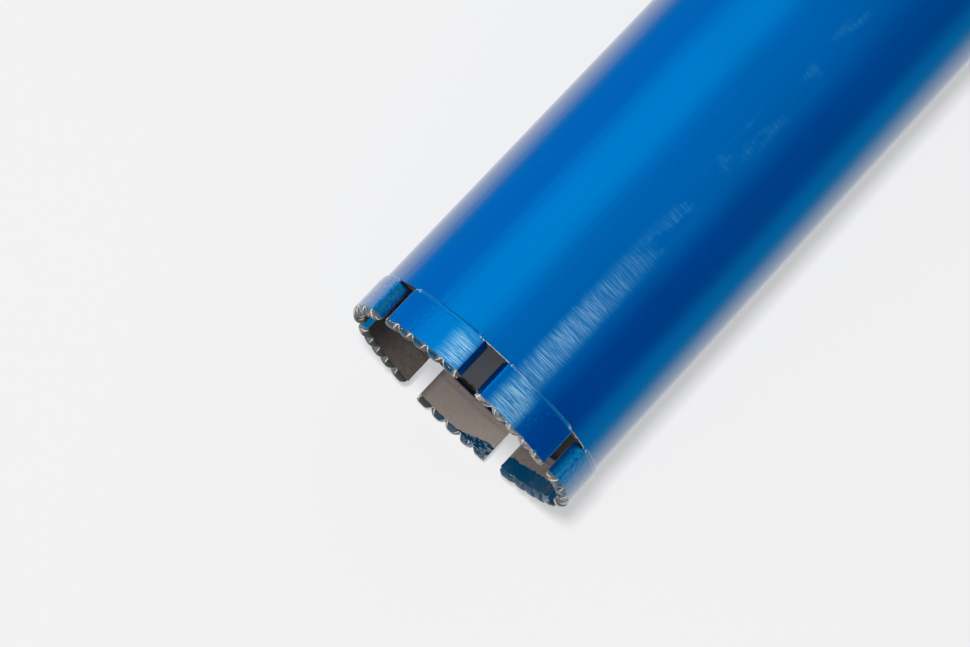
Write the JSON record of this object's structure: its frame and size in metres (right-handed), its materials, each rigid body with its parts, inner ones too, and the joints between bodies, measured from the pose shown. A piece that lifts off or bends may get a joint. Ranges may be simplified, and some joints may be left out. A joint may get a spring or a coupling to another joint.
{
  "type": "diamond core bit",
  "caption": "Wet diamond core bit: painted steel barrel, threaded hub at the drive end, toothed diamond segments welded round the open end, for drilling round holes in concrete.",
  "frame": {"origin": "centre of the hub's end face, which the bit stands on", "axes": "+Z along the bit's axis from the hub to the crown, +Y through the middle of segment_1"},
  "size_m": [0.072, 0.0718, 0.49],
  "materials": {
    "paint": "gloss blue enamel",
    "hub_steel": "turned steel",
    "segment": "sintered metal with grit, painted outside"
  },
  "bodies": {
    "root": {"barrel": "paint", "hub": "hub_steel", "segment_1": "segment", "segment_2": "segment", "segment_3": "segment", "segment_4": "segment", "segment_5": "segment", "segment_6": "segment", "segment_7": "segment"}
  },
  "joints": []
}
